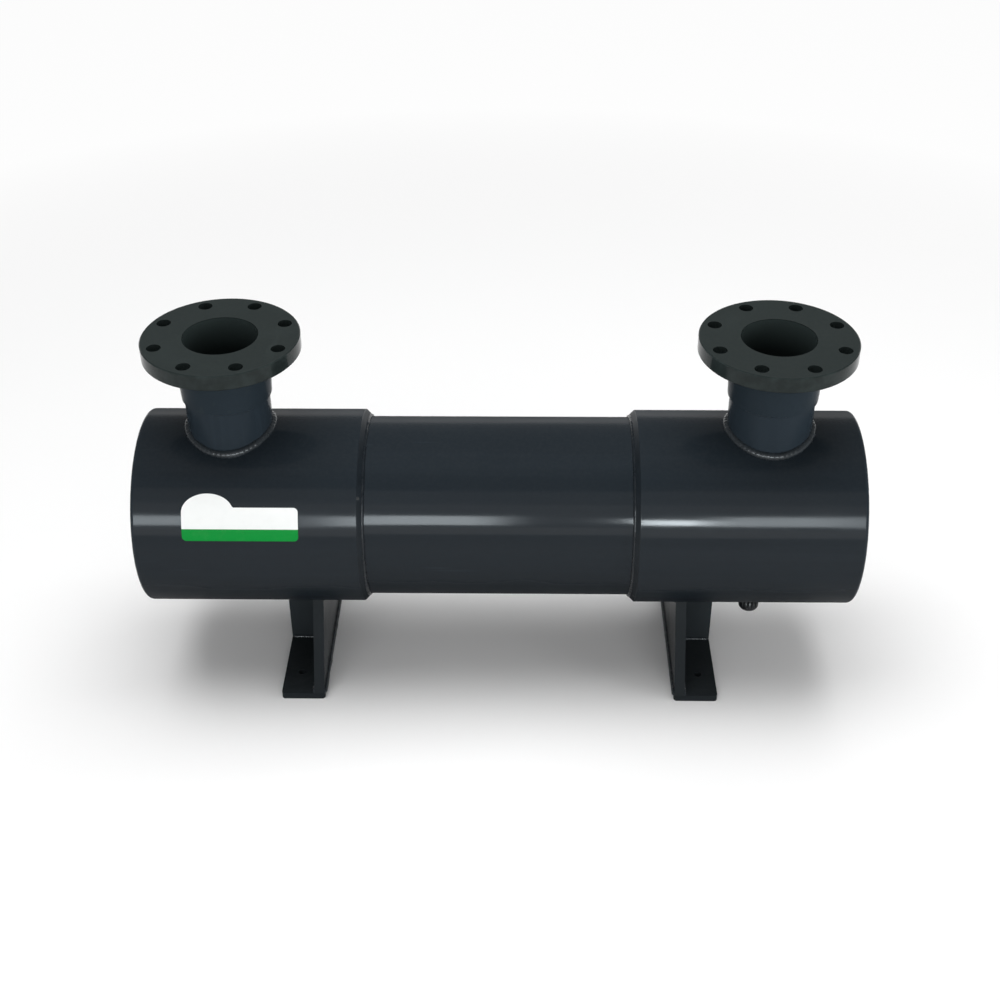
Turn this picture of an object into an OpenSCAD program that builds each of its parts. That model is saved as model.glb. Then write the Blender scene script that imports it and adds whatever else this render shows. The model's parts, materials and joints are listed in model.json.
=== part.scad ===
// In-line UV clarifier: a glued pipe vessel on two feet, with a flanged inlet and outlet on top,
// a drain underneath and four lamps in quartz sleeves that enter through the right-hand end plate.
// Millimetres. X runs along the vessel, Z is up, and the origin is on the floor under its middle.

/* [Vessel] */
// Length of the vessel, rim to rim
vessel_len = 980; // [880:1:1200]
// Height of the vessel's axis above the floor
axis_h = 250; // [220:1:300]
// Outside diameter of the centre pipe
pipe_od = 250; // [225:1:255]
// Wall of the centre pipe
pipe_wall = 9.6; // [6:0.1:12]
// Length of each end chamber
chamber_len = 307.5; // [290:0.5:330]
// Wall of the end chambers
chamber_wall = 9.8; // [8:0.1:14]
// Rounding of the chambers' outer rims
rim_round = 5; // [2:0.5:7]
// Chamfer on the chambers' inner ends
step_chamfer = 6; // [3:0.5:7]

/* [End plates] */
// Thickness of both end plates
plate_t = 18; // [14:0.5:19]
// Depth of the lamp end plate behind the right rim
lamp_recess = 44; // [43:0.5:46]
// Depth of the blank end plate behind the left rim
blank_recess = 15; // [8:0.5:30]

/* [Ports] */
// Distance from each rim to the port's axis
port_setback = 123.5; // [121:0.5:132]
// Height of the flange face above the vessel's axis
port_face_h = 272; // [240:1:320]
// Outside diameter of the branch pipes
branch_od = 114; // [90:1:115]
// Wall of the branch pipes
branch_wall = 7; // [4:0.5:10]
// Outside diameter of the flanges
flange_od = 210; // [204:1:240]
// Thickness of the flange discs
flange_t = 22; // [16:1:30]
// Bolt circle of the flanges
bolt_circle = 175; // [165:0.5:182]
// Number of bolt holes in a flange
bolt_count = 8; // [4, 8]
// Diameter of the flange bolt holes
bolt_hole_d = 19; // [12:0.5:20]
// Height of the hub under a flange disc
hub_h = 64; // [20:1:80]
// Wall of the hub where it meets the disc
hub_wall_top = 6; // [4:0.5:9]
// Wall of the hub at its lower edge
hub_wall_foot = 3; // [2:0.5:4]
// Thickness of the lip that stops the branch pipe
flange_lip = 6; // [4:0.5:10]
// Leg of the weld bead round the foot of a branch
weld_leg = 6; // [3:0.5:8]
// Gap along the vessel from the centre pipe's end to the port hole
pipe_to_port = 3.3; // [1:0.1:40]

/* [Feet] */
// Distance from each rim to the outer edge of the foot
foot_setback = 178; // [155:1:210]
// Width of a foot along the vessel
foot_w = 62; // [50:1:70]
// Depth of a foot across the vessel
foot_depth = 263; // [230:1:300]
// Thickness of the base plates
base_t = 10; // [6:0.5:16]
// Rounding of the base plates' corners
base_round = 5; // [1:0.5:8]
// Thickness of the upright webs
web_t = 15; // [8:0.5:20]
// Width of the webs where they meet the vessel
web_top_w = 140; // [90:1:170]
// Thickness of the gussets
gusset_t = 15; // [8:0.5:20]
// Diameter of the anchor holes
anchor_d = 10; // [6:0.5:14]
// Distance between a foot's two anchor holes
anchor_pitch = 172; // [140:1:190]
// Distance from a foot's inner face to its anchor holes
anchor_inset = 38; // [30:0.5:42]

/* [Drain] */
// Thread diameter of the drain plug
drain_thread_d = 21; // [16:0.5:23]
// Thread pitch of the drain plug
drain_pitch = 1.814; // [1:0.001:2.5]
// Turns that free the drain plug
drain_turns = 8; // [5:1:9]
// Outside diameter of the drain boss
drain_boss_d = 29; // [28:0.5:36]
// Height of the drain boss below the vessel
drain_boss_drop = 25; // [20:0.5:30]
// Thickness of the drain washer
drain_washer_t = 2.5; // [1.5:0.1:4]
// Height of the drain plug's head
drain_head_h = 20.5; // [14:0.5:24]

/* [Lamps] */
// Side of the square on which the four lamps stand
lamp_square = 84; // [70:1:110]
// Outside diameter of the quartz sleeves
sleeve_od = 23; // [21:0.1:25]
// Wall of the quartz sleeves
sleeve_wall = 1.5; // [1:0.1:1.8]
// Length of sleeve that stands out of the gland nut
sleeve_standout = 7; // [4:0.5:8]
// Diameter of the lamp tubes
lamp_od = 15.5; // [12:0.5:16]
// Glass wall of the lamp tubes
lamp_wall = 1; // [0.6:0.1:2]
// Diameter of the lamp bases and caps
lamp_base_d = 17.5; // [17:0.1:18]
// Thread diameter of the glands
gland_thread_d = 36; // [34:0.5:40]
// Thread pitch of the glands
gland_pitch = 3; // [2:0.25:4]
// Turns that free a gland nut
gland_turns = 5; // [3:1:5]
// Section of the O-rings
o_ring_d = 3.5; // [3:0.1:4]
// Wall of the gland nuts round their thread
nut_wall = 5; // [4:0.5:7]

/* [Hidden] */
$fn = 96;

// Clearances: glued joints, beads laid on a surface, running threads, loose slides, pressed faces
glue_gap = 0.2;
bead_gap = 0.15;
thread_gap = 0.1;
slide_gap = 0.3;
face_gap = 0.1;
// Overshoot of a cut past the face it opens
cut = 1;

// Vessel
half_len = vessel_len / 2;
pipe_r = pipe_od / 2;
chamber_bore_r = pipe_r + glue_gap;
chamber_r = chamber_bore_r + chamber_wall;
chamber_x = half_len - chamber_len;
cement_leg = chamber_wall - step_chamfer;
port_x = half_len - port_setback;
port_hole_r = branch_od / 2 + glue_gap;
pipe_end_x = port_x - port_hole_r - pipe_to_port;
plate_r = chamber_bore_r - glue_gap;
lamp_plate_x = half_len - lamp_recess;
blank_plate_x = half_len - blank_recess;

// Ports
branch_bore_r = branch_od / 2 - branch_wall;
branch_top_h = port_face_h - flange_lip - face_gap;
flange_edge = 1.5;
bead_r = branch_od / 2 + bead_gap;
bead_seat_r = chamber_r + bead_gap;
bead_steps = 72;
bead_face_steps = 4;
bead_sweep = 90;
bead_flat = 0.15;

// Feet
foot_x = half_len - foot_setback - foot_w;
foot_seat_r = chamber_r + glue_gap;

// Drain
drain_hole_r = drain_boss_d / 2 + glue_gap;
drain_boss_z = axis_h - chamber_r - drain_boss_drop;
drain_thread_len = drain_turns * drain_pitch;
drain_head_z = drain_boss_z - drain_washer_t - 2 * face_gap;
drain_head_round = 6;
drain_flutes = 14;
drain_flute_r = 1.8;
drain_flute_depth = 1;
drain_flute_land = 1.5;

// Glands, measured along a lamp from the outer face of the lamp end plate
collar_t = 5;
collar_wall = 5;
oring_seat_depth = 2 * o_ring_d;
gland_lead = 3;
gland_boss_h = gland_lead + gland_turns * gland_pitch;
sleeve_bore_r = sleeve_od / 2 + slide_gap;
oring_seat_r = sleeve_od / 2 + o_ring_d;
oring_slack = 0.2;
washer_h = gland_boss_h - oring_seat_depth + o_ring_d + face_gap;
washer_t = 4;
nut_face_h = washer_h + washer_t + face_gap;
nut_face_t = 3.5;
nut_end_h = nut_face_h + nut_face_t;
nut_r = gland_thread_d / 2 + thread_gap + nut_wall;
nut_hole_r = sleeve_od / 2 + 2 * slide_gap;
nut_flutes = 16;
nut_flute_r = 2.4;
nut_flute_depth = 1.5;
nut_edge = 1.2;

// Lamps and sleeves
lamp_places = [[-1, -1], [1, -1], [1, 1], [-1, 1]];
lamp_count = len(lamp_places);
sleeve_end_h = nut_end_h + sleeve_standout;
sleeve_r = sleeve_od / 2;
sleeve_in_r = sleeve_r - sleeve_wall;
cup_depth = 16;
cup_floor = 6;
cup_wall = 5;
cup_h = cup_floor + cup_depth;
sleeve_tip_gap = 1;
sleeve_tip_x = -blank_plate_x + plate_t + cup_floor + sleeve_tip_gap;
sleeve_open_x = lamp_plate_x + sleeve_end_h;
plug_spigot_r = sleeve_in_r - face_gap;
plug_spigot_h = 14;
plug_rim_t = 3;
plug_boot_h = 9;
plug_boot_top_r = 8.5;
plug_boot_end_r = 6;
plug_inner_x = sleeve_open_x - plug_spigot_h;
plug_rim_x = sleeve_open_x + face_gap;
cable_hole_r = 3.2;
pin_r = 1.2;
pin_len = 9;
pin_circle_r = 4.5;
pin_count = 4;
base_h = 28;
cap_h = 20;
tube_seat = 12;
base_x = plug_inner_x - face_gap - base_h;
cap_x = sleeve_tip_x + sleeve_r + cup_wall;
tube_x = cap_x + cap_h - tube_seat;
tube_len = base_x + tube_seat - tube_x;

// Finishes
vessel_grey = [0.17, 0.19, 0.21];
flange_grey = [0.19, 0.21, 0.22];
bead_grey = [0.30, 0.33, 0.36];
plate_grey = [0.22, 0.24, 0.27];
nut_black = [0.07, 0.07, 0.08];
rubber_black = [0.05, 0.05, 0.05];
washer_white = [0.86, 0.86, 0.84];
quartz_clear = [0.85, 0.92, 0.96, 0.35];
lamp_glass = [0.90, 0.93, 0.96];
ceramic_white = [0.92, 0.91, 0.88];

// Stands a shape made along Z on the vessel's axis, pointing along +X from x
module along_vessel(x) {
    translate([x, 0, axis_h]) rotate([0, 90, 0]) children();
}

// The same on the axis of lamp i
module along_lamp(i, x) {
    side = lamp_places[i - 1] * lamp_square / 2;
    translate([x, side[0], axis_h + side[1]]) rotate([0, 90, 0]) children();
}

// Draws a right-hand piece as it is, or mirrored to the left end
module on_side(side) {
    if (side == "left") mirror([1, 0, 0]) children();
    else children();
}

// A straight ring from z = 0 to h
module ring(r_out, r_in, h) {
    difference() {
        cylinder(r = r_out, h = h);
        translate([0, 0, -cut]) cylinder(r = r_in, h = h + 2 * cut);
    }
}

// The space inside a pipe of radius r along the whole vessel
module vessel_core(r) {
    along_vessel(-half_len - cut) cylinder(r = r, h = vessel_len + 2 * cut);
}

module centre_pipe() {
    color(vessel_grey) along_vessel(-pipe_end_x) ring(pipe_r, pipe_r - pipe_wall, 2 * pipe_end_x);
}

// Half section of a chamber's wall, from the chamfered step to the rounded rim
module chamber_section() {
    difference() {
        translate([chamber_bore_r, 0]) square([chamber_wall, chamber_len]);
        polygon([
            [chamber_r - step_chamfer, 0],
            [chamber_r - step_chamfer, -cut],
            [chamber_r + cut, -cut],
            [chamber_r + cut, step_chamfer],
            [chamber_r, step_chamfer]
        ]);
        difference() {
            translate([chamber_r - rim_round, chamber_len - rim_round]) square(rim_round + cut);
            translate([chamber_r - rim_round, chamber_len - rim_round]) circle(r = rim_round);
        }
    }
}

module end_chamber(side) {
    color(vessel_grey) on_side(side) difference() {
        along_vessel(chamber_x) rotate_extrude() chamber_section();
        translate([port_x, 0, axis_h]) cylinder(r = port_hole_r, h = chamber_r + cut);
        if (side == "right")
            translate([port_x, 0, axis_h - chamber_r - cut]) cylinder(r = drain_hole_r, h = chamber_r);
    }
}

// Fillet of solvent cement in the step between the centre pipe and a chamber
module cement_fillet(side) {
    color(bead_grey) on_side(side) along_vessel(chamber_x) rotate_extrude() polygon([
        [pipe_r + face_gap, 0],
        [pipe_r + face_gap, -cement_leg],
        [pipe_r + face_gap + cement_leg, 0]
    ]);
}

// Branch pipe, cut to the inside of the chamber
module branch_pipe(side) {
    color(vessel_grey) on_side(side) difference() {
        translate([port_x, 0, axis_h]) ring(branch_od / 2, branch_bore_r, branch_top_h);
        vessel_core(chamber_bore_r);
    }
}

// Weld bead round the foot of a branch: a convex fillet swept along the curve where the two pipes meet
function saddle_height(y) = sqrt(bead_seat_r * bead_seat_r - y * y);
function bead_corner(a) = [bead_r * cos(a), bead_r * sin(a), saddle_height(bead_r * sin(a))];
function bead_normal(a) = let (p = bead_corner(a)) [0, p[1], p[2]] / bead_seat_r;
function bead_tangent(a) = let (p = bead_corner(a)) [-sin(a), cos(a), -cos(a) * p[1] / p[2]];
function bead_outward(a) = let (v = cross(bead_tangent(a), bead_normal(a))) v / norm(v);
function bead_swell(b) = 1 - bead_flat * sin(2 * b);
function bead_face_point(a, b) =
    bead_corner(a) + weld_leg * bead_swell(b) * (cos(b) * bead_outward(a) + sin(b) * [0, 0, 1]);
function bead_ring(a) = concat(
    [bead_corner(a)],
    [for (j = [0:bead_face_steps]) bead_face_point(a, bead_sweep * j / bead_face_steps)]
);

module weld_bead(side) {
    row = bead_face_steps + 2;
    points = [for (i = [0:bead_steps - 1]) each bead_ring(360 * i / bead_steps)];
    faces = [
        for (i = [0:bead_steps - 1], j = [0:row - 1])
            let (
                k = (i + 1) % bead_steps,
                m = (j + 1) % row
            )
            each [
                [i * row + j, i * row + m, k * row + m],
                [i * row + j, k * row + m, k * row + j]
            ]
    ];
    color(bead_grey) on_side(side) translate([port_x, 0, axis_h]) polyhedron(points, faces);
}

// Half section of a flange, with z = 0 on its face: disc, hub, pipe socket and stop lip
module flange_section() {
    socket_r = branch_od / 2 + glue_gap;
    outer_r = flange_od / 2;
    polygon([
        [branch_bore_r, 0],
        [outer_r - flange_edge, 0],
        [outer_r, -flange_edge],
        [outer_r, flange_edge - flange_t],
        [outer_r - flange_edge, -flange_t],
        [socket_r + hub_wall_top, -flange_t],
        [socket_r + hub_wall_foot, -flange_t - hub_h],
        [socket_r, -flange_t - hub_h],
        [socket_r, -flange_lip],
        [branch_bore_r, -flange_lip]
    ]);
}

module flange(side) {
    color(flange_grey) on_side(side) translate([port_x, 0, axis_h + port_face_h]) difference() {
        rotate_extrude() flange_section();
        for (i = [0:bolt_count - 1])
            rotate([0, 0, (i + 0.5) * 360 / bolt_count])
                translate([bolt_circle / 2, 0, -flange_t - cut])
                    cylinder(d = bolt_hole_d, h = flange_t + 2 * cut);
    }
}

module blank_end_plate() {
    color(plate_grey) along_vessel(-blank_plate_x) cylinder(r = plate_r, h = plate_t);
}

module lamp_end_plate() {
    color(plate_grey) difference() {
        along_vessel(lamp_plate_x - plate_t) cylinder(r = plate_r, h = plate_t);
        for (i = [1:lamp_count])
            along_lamp(i, lamp_plate_x - plate_t - cut)
                cylinder(r = gland_thread_d / 2 + glue_gap, h = plate_t + 2 * cut);
    }
}

// Outline of a base plate, with rounded corners; x runs from the foot's inner face
module base_outline() {
    side_y = foot_depth / 2 - base_round;
    translate([base_round, -foot_depth / 2]) square([foot_w - 2 * base_round, foot_depth]);
    translate([0, -side_y]) square([foot_w, 2 * side_y]);
    for (x = [base_round, foot_w - base_round], y = [-side_y, side_y])
        translate([x, y]) circle(r = base_round);
}

// Base plate with its anchor holes
module foot_base(side) {
    color(vessel_grey) on_side(side) translate([foot_x, 0, 0]) linear_extrude(base_t) difference() {
        base_outline();
        for (y = [-1, 1] * anchor_pitch / 2)
            translate([anchor_inset, y]) circle(d = anchor_d);
    }
}

// Upright plate across the vessel, cut to sit under the chamber
module foot_web(side) {
    seat_h = axis_h - sqrt(pow(foot_seat_r, 2) - pow(web_top_w / 2, 2));
    color(vessel_grey) on_side(side) difference() {
        translate([foot_x, 0, 0]) rotate([90, 0, 90]) linear_extrude(web_t) polygon([
            [-foot_depth / 2, base_t],
            [foot_depth / 2, base_t],
            [web_top_w / 2, seat_h],
            [-web_top_w / 2, seat_h]
        ]);
        vessel_core(foot_seat_r);
    }
}

// Rib along the vessel that braces the web from behind
module foot_gusset(side) {
    color(vessel_grey) on_side(side) difference() {
        translate([foot_x + web_t, -gusset_t / 2, base_t])
            cube([foot_w - web_t, gusset_t, axis_h - chamber_r]);
        vessel_core(foot_seat_r);
    }
}

// Threaded boss under the right port, cut to the inside of the chamber
module drain_boss() {
    color(vessel_grey) difference() {
        translate([port_x, 0, drain_boss_z])
            ring(drain_boss_d / 2, drain_thread_d / 2 + thread_gap, axis_h - drain_boss_z);
        vessel_core(chamber_bore_r);
    }
}

module drain_washer() {
    color(rubber_black) translate([port_x, 0, drain_boss_z - face_gap - drain_washer_t])
        ring(drain_boss_d / 2, drain_thread_d / 2 + slide_gap, drain_washer_t);
}

// Half section of the drain plug's head, rounded at the bottom, with z = 0 at its top
module drain_head_section() {
    head_r = drain_boss_d / 2;
    translate([0, drain_head_round - drain_head_h]) square([head_r, drain_head_h - drain_head_round]);
    translate([0, -drain_head_h]) square([head_r - drain_head_round, drain_head_round]);
    intersection() {
        translate([head_r - drain_head_round, drain_head_round - drain_head_h]) circle(r = drain_head_round);
        translate([0, -drain_head_h]) square([head_r, drain_head_h]);
    }
}

// Plug with a fluted head and a round bottom
module drain_plug() {
    flute_top = drain_head_h - drain_head_round - drain_flute_land;
    color(nut_black) translate([port_x, 0, drain_head_z]) {
        cylinder(d = drain_thread_d, h = drain_thread_len + drain_washer_t + 2 * face_gap);
        difference() {
            rotate_extrude() drain_head_section();
            for (i = [0:drain_flutes - 1])
                rotate([0, 0, i * 360 / drain_flutes])
                    translate([drain_boss_d / 2 + drain_flute_r - drain_flute_depth, 0, -flute_top])
                        cylinder(r = drain_flute_r, h = flute_top + cut);
        }
    }
}

// Cups on the blank end plate that carry the sleeves' closed ends
module sleeve_cups() {
    color(plate_grey) for (i = [1:lamp_count])
        along_lamp(i, -blank_plate_x + plate_t) difference() {
            cylinder(r = sleeve_bore_r + cup_wall, h = cup_h);
            translate([0, 0, cup_floor]) cylinder(r = sleeve_bore_r, h = cup_depth + cut);
        }
}

module sleeve_o_rings() {
    seat_h = gland_boss_h - oring_seat_depth + o_ring_d / 2;
    color(rubber_black) for (i = [1:lamp_count])
        along_lamp(i, lamp_plate_x + seat_h)
            rotate_extrude() translate([sleeve_r + o_ring_d / 2, 0]) circle(d = o_ring_d - oring_slack);
}

// Threaded gland glued through the end plate, with a collar on the water side and an O-ring seat outside
module gland_body(i) {
    thread_r = gland_thread_d / 2;
    inner_h = -plate_t - collar_t;
    seat_h = gland_boss_h - oring_seat_depth;
    color(plate_grey) along_lamp(i, lamp_plate_x) rotate_extrude() polygon([
        [sleeve_bore_r, inner_h],
        [thread_r + collar_wall, inner_h],
        [thread_r + collar_wall, -plate_t],
        [thread_r, -plate_t],
        [thread_r, gland_boss_h],
        [oring_seat_r, gland_boss_h],
        [oring_seat_r, seat_h],
        [sleeve_bore_r, seat_h]
    ]);
}

module thrust_washer(i) {
    color(washer_white) along_lamp(i, lamp_plate_x + washer_h)
        ring(oring_seat_r - slide_gap, sleeve_bore_r, washer_t);
}

// Fluted nut that presses the thrust washer on to the O-ring
module gland_nut(i) {
    bore_r = gland_thread_d / 2 + thread_gap;
    color(nut_black) along_lamp(i, lamp_plate_x) difference() {
        rotate_extrude() polygon([
            [bore_r, gland_lead],
            [nut_r - nut_edge, gland_lead],
            [nut_r, gland_lead + nut_edge],
            [nut_r, nut_end_h - nut_edge],
            [nut_r - nut_edge, nut_end_h],
            [nut_hole_r, nut_end_h],
            [nut_hole_r, nut_face_h],
            [bore_r, nut_face_h]
        ]);
        for (k = [0:nut_flutes - 1])
            rotate([0, 0, k * 360 / nut_flutes])
                translate([nut_r + nut_flute_r - nut_flute_depth, 0, gland_lead - cut])
                    cylinder(r = nut_flute_r, h = nut_end_h - gland_lead + 2 * cut);
    }
}

// Quartz sleeve with a round closed end
module quartz_sleeve(i) {
    straight = sleeve_open_x - sleeve_tip_x - sleeve_r;
    color(quartz_clear) along_lamp(i, sleeve_tip_x + sleeve_r) rotate_extrude() intersection() {
        translate([0, -sleeve_od]) square([sleeve_od, straight + sleeve_od]);
        difference() {
            union() {
                circle(r = sleeve_r);
                square([sleeve_r, straight]);
            }
            circle(r = sleeve_in_r);
            translate([-cut, 0]) square([sleeve_in_r + cut, straight + cut]);
        }
    }
}

module lamp_tube(i) {
    color(lamp_glass) along_lamp(i, tube_x) ring(lamp_od / 2, lamp_od / 2 - lamp_wall, tube_len);
}

// Ceramic end of a lamp, with a blind seat for the tube; its closed end is at z = 0
module lamp_end(h) {
    difference() {
        cylinder(d = lamp_base_d, h = h);
        translate([0, 0, h - tube_seat - face_gap]) cylinder(d = lamp_od + 2 * face_gap, h = tube_seat + cut);
    }
}

// Base with its contact pins
module lamp_base(i) {
    color(ceramic_white) along_lamp(i, base_x + base_h) rotate([180, 0, 0]) {
        lamp_end(base_h);
        for (k = [0:pin_count - 1])
            rotate([0, 0, (k + 0.5) * 360 / pin_count])
                translate([pin_circle_r, 0, -pin_len]) cylinder(r = pin_r, h = pin_len + cut);
    }
}

module lamp_cap(i) {
    color(ceramic_white) along_lamp(i, cap_x) lamp_end(cap_h);
}

// Rubber plug on the lamp's pins: spigot in the sleeve, rim on its end, boot for the lead
module lamp_plug(i) {
    rim_h = plug_rim_x - plug_inner_x;
    boot_h = rim_h + plug_rim_t;
    color(rubber_black) along_lamp(i, plug_inner_x) difference() {
        rotate_extrude() polygon([
            [0, 0],
            [plug_spigot_r, 0],
            [plug_spigot_r, rim_h],
            [sleeve_r, rim_h],
            [sleeve_r, boot_h],
            [plug_boot_top_r, boot_h],
            [plug_boot_end_r, boot_h + plug_boot_h],
            [0, boot_h + plug_boot_h]
        ]);
        for (k = [0:pin_count - 1])
            rotate([0, 0, (k + 0.5) * 360 / pin_count])
                translate([pin_circle_r, 0, -cut]) cylinder(r = pin_r + thread_gap, h = pin_len + 2 * cut);
        translate([0, 0, pin_len + 2 * cut]) cylinder(r = cable_hole_r, h = boot_h + plug_boot_h);
    }
}

centre_pipe();
for (side = ["left", "right"]) {
    end_chamber(side);
    cement_fillet(side);
    branch_pipe(side);
    weld_bead(side);
    flange(side);
    foot_base(side);
    foot_web(side);
    foot_gusset(side);
}
blank_end_plate();
lamp_end_plate();
drain_boss();
drain_washer();
drain_plug();
sleeve_cups();
sleeve_o_rings();
for (i = [1:lamp_count]) {
    gland_body(i);
    thrust_washer(i);
    gland_nut(i);
    quartz_sleeve(i);
    lamp_tube(i);
    lamp_base(i);
    lamp_cap(i);
    lamp_plug(i);
}
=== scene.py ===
"""Looks of an in-line UV clarifier, laid out as an add-on.

The packed solids are the frame, and every piece stays where they are. Each operator dresses one
group of like pieces, and the last one sets the floor, the lights and the camera. Lengths are in
metres, and X runs along the vessel.
"""

import json
import math

import bmesh
import bpy
from mathutils import Matrix, Vector


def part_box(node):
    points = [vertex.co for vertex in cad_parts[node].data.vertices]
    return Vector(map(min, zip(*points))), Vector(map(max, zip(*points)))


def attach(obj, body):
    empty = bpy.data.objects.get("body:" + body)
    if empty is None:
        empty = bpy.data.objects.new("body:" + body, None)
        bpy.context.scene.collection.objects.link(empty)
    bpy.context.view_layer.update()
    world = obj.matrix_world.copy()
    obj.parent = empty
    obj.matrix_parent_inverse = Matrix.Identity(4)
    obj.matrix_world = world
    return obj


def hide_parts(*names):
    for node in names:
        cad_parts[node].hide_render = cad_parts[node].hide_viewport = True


bl_info = {
    "name": "UV clarifier looks",
    "version": (1, 0, 0),
    "blender": (4, 5, 0),
    "location": "View3D > Sidebar > Clarifier",
    "description": "Dresses the solids of a UV clarifier with finishes, welds, threads and a label",
    "category": "Object",
}

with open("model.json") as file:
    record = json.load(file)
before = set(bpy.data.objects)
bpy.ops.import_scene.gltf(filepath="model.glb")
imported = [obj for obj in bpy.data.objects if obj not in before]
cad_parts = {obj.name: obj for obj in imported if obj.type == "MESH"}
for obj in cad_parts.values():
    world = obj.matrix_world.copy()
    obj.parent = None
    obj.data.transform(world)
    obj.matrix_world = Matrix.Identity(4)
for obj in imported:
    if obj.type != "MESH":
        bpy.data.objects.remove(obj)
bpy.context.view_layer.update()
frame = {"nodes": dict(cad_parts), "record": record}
NODES = frame["nodes"]
SIDES = {"left": -1, "right": 1}
LAMPS = (1, 2, 3, 4)
MM = 0.001


def middle(node):
    """The middle of a solid's box."""
    low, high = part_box(node)
    return (low + high) / 2


def span(node):
    """The size of a solid's box."""
    low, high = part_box(node)
    return high - low


def coupled_pitch(joint):
    """How far a screw slides in one turn, from the record."""
    rows = frame["record"]["behaviour"]["couplings"]
    return 2 * math.pi * next(row["ratio"] for row in rows if row["joint"] == joint)


# Sizes of the solids that the pieces below are laid on
AXIS_Z = middle("end_chamber_left").z
CHAMBER_R = span("end_chamber_left").z / 2
PIPE_R = span("centre_pipe").z / 2
STEP_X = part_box("end_chamber_right")[0].x
RIM_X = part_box("end_chamber_right")[1].x
PLATE_R = span("blank_end_plate").z / 2
PORT_X = middle("branch_pipe_right").x
BRANCH_R = span("branch_pipe_right").x / 2
FLANGE_R = span("flange_right").x / 2
FLANGE_FACE_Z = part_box("flange_right")[1].z
HUB_FOOT_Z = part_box("flange_right")[0].z
LAMP_PLATE_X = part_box("lamp_end_plate")[1].x
BLANK_PLATE_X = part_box("blank_end_plate")[0].x
DRAIN_BOSS_R = span("drain_boss").x / 2
DRAIN_WASHER_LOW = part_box("drain_washer")[0].z
FOOT_LOW, FOOT_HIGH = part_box("foot_web_right")
FOOT_EDGE_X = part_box("foot_base_right")[1].x
BASE_TOP_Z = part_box("foot_base_right")[1].z
GUSSET_HALF = span("foot_gusset_right").y / 2

# Sizes of the solids that their boxes don't give
PIN_ROOT_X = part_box("lamp_base_1")[1].x - 9 * MM
WEB_TOP_HALF = 70 * MM
DRAIN_THREAD_R, DRAIN_THREAD_START = 10.5 * MM, 1.0 * MM
GLAND_THREAD_R, GLAND_THREAD_START = 18.0 * MM, 2.6 * MM

# The sheets of a foot: the name of each one's finish, and how much paler it is than plain sheet.
# The paler base and gusset are painted light, which lifts the shade that falls on them under the
# vessel.
FOOT_SHEETS = {
    "foot_base": ("foot_pvc", 1.1),
    "foot_web": ("web_pvc", 1.0),
    "foot_gusset": ("gusset_pvc", 1.8),
}

# Smears of cement beside the steps: place along X, angle above the front in degrees, and size
CEMENT_SMEARS = (
    (-0.1815, 42.2, 4.5 * MM),
    (-0.1850, 39.0, 4.0 * MM),
    (0.1840, 118.0, 6.0 * MM),
    (-0.1880, 205.0, 5.0 * MM),
    (0.1830, -35.0, 5.0 * MM),
)

# How each kind of bead is laid: the depth of its ripples and its lumps as shares of its radius,
# how far its line wanders, and the length over which its ends taper
BEAD_STYLES = {
    "port_weld": (0.07, 0.55, 2.4 * MM, 0.0),
    "step_cement": (0.05, 0.80, 1.0 * MM, 0.0),
    "hub_cement": (0.05, 0.70, 0.5 * MM, 0.0),
    "foot_weld": (0.14, 0.45, 0.9 * MM, 4.0 * MM),
    "plate_weld": (0.14, 0.35, 0.8 * MM, 0.0),
    "drain_weld": (0.14, 0.35, 0.6 * MM, 0.0),
    "gland_weld": (0.12, 0.40, 0.4 * MM, 0.0),
}
BEAD_SIDES = 12
RIPPLE_STEPS = 6  # points along one ripple
LUMP_LENGTH = 4.0  # in radii of the bead

# Threads: half the height of a ridge as a share of the pitch, the turns that its ends take up,
# and the length of a run-out as a share of the thread's radius
RIDGE_SHARE = 0.48
END_TURNS = 0.9
RUN_OUT_SHARE = 1.2
RIDGE_SIDES, RIDGE_STEPS = 4, 40
CUT_STEP = 0.4 * MM  # length of the cone where the solid narrows to the root
CREST_GAP = 0.05 * MM  # points this near to the crest are cut down
MERGE_GAP = 0.001 * MM
THREAD_SHARP = math.radians(28)

# Filaments: how far in from the two ends of a tube they start, and how they are wound
FILAMENT_INSETS = (20 * MM, 31 * MM)
FILAMENT_COIL = {
    "Pitch": 0.9 * MM,
    "Wire Radius": 0.25 * MM,
    "Taper": 0.0,
    "Turns": 12.0,
    "Wire Sides": 8,
    "Steps": 20,
}

# The label: faces up and along it, the angle that makes an edge sharp, and the colour of its grime
LABEL_ROWS, LABEL_COLUMNS = 24, 120
LABEL_SHARP = math.radians(40)
LABEL_GRIME = (0.35, 0.35, 0.33)

# The floor: radius of its flat part, how far out and up its edge curves, its steps out and round,
# and where it starts to turn white, where that ends and how white it gets
FLOOR_FLAT = 14.0
FLOOR_OUT = 6.0
FLOOR_UP = 2.8
FLOOR_STEPS = 12
FLOOR_TURN = 96
WHITE_START, WHITE_END, WHITE_SHARE = 0.7, 2.2, 0.95

# Soft lights: place, the point that each one faces, size, and whether reflections show it
SOFT_LIGHTS = {
    "overhead": ((-0.1, 0.25, 3.0), (0.0, 0.0, 0.2), (3.4, 2.0), False),
    "front": ((0.0, -3.4, 1.3), (0.0, 0.0, 0.4), (5.0, 2.4), True),
    "upper": ((0.0, -2.95, 3.1), (0.0, 0.0, 0.4), (5.0, 1.3), True),
    "side": ((3.2, -0.9, 0.9), (0.3, 0.0, 0.4), (1.6, 1.6), False),
}

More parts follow.
